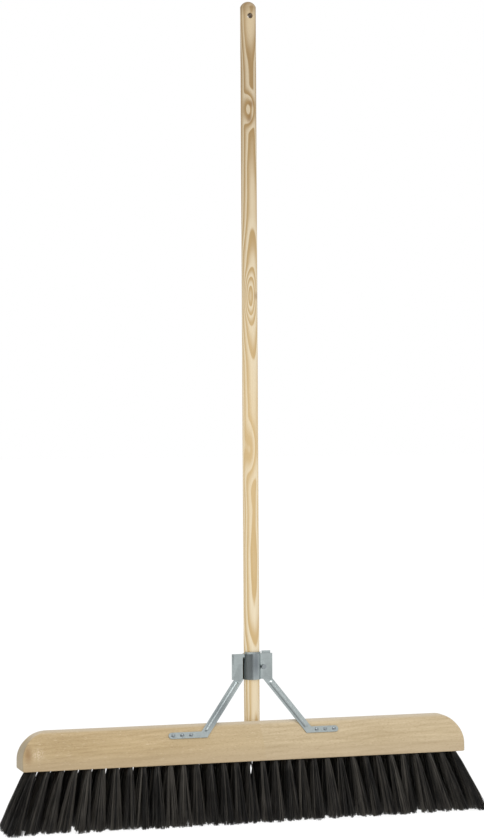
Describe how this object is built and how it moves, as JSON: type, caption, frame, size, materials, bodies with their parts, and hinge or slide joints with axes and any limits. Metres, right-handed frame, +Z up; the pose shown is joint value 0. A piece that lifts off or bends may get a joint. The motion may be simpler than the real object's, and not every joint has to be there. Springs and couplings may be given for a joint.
{
  "type": "push broom",
  "caption": "Wide push broom with a gabled wooden block, fanned bristle tufts, a two-legged clamp bracket and a round handle.",
  "frame": {"origin": "on the floor, under the middle of the bristle tips", "axes": "+X along the block to the right, +Y from the front to the back, +Z up the handle"},
  "size_m": [0.8568, 0.1002, 1.43],
  "materials": {
    "block_wood": "bare beech",
    "handle_wood": "smooth bare pine",
    "bracket_steel": "galvanised",
    "fastener_steel": "zinc plated",
    "bristle": "stiff black fibre",
    "wire": "drawn wire"
  },
  "bodies": {
    "head": {"block_left": "block_wood", "block_right": "block_wood", "bracket_left": "bracket_steel", "bracket_right": "bracket_steel", "clamp_bolt": "fastener_steel", "foot_screws_left": "fastener_steel", "foot_screws_right": "fastener_steel", "tuft_row_1": "bristle", "tuft_row_2": "bristle", "tuft_row_3": "bristle", "tuft_row_4": "bristle", "tuft_row_5": "bristle", "tuft_anchors_1": "wire", "tuft_anchors_2": "wire", "tuft_anchors_3": "wire", "tuft_anchors_4": "wire", "tuft_anchors_5": "wire"},
    "stick": {"handle": "handle_wood"},
    "washer": {"clamp_washer": "fastener_steel"},
    "nut": {"clamp_nut": "fastener_steel"}
  },
  "joints": [
    {"name": "handle_slide", "type": "slide", "parent": "head", "child": "stick", "axis": [0, 0, 1], "range_m": [0, 0.12]},
    {"name": "washer_slide", "type": "slide", "parent": "head", "child": "washer", "axis": [0, 1, 0], "range_m": [0, 0.0024]},
    {"name": "nut_turn", "type": "hinge", "parent": "washer", "child": "nut", "pos_m": [0.0402, 0.02158, 0.26315], "axis": [0, 1, 0], "range_deg": [0, 1080]}
  ],
  "couplings": [
    {"joint": "nut_turn", "follows": "washer_slide", "rad_per_m": 7854}
  ]
}
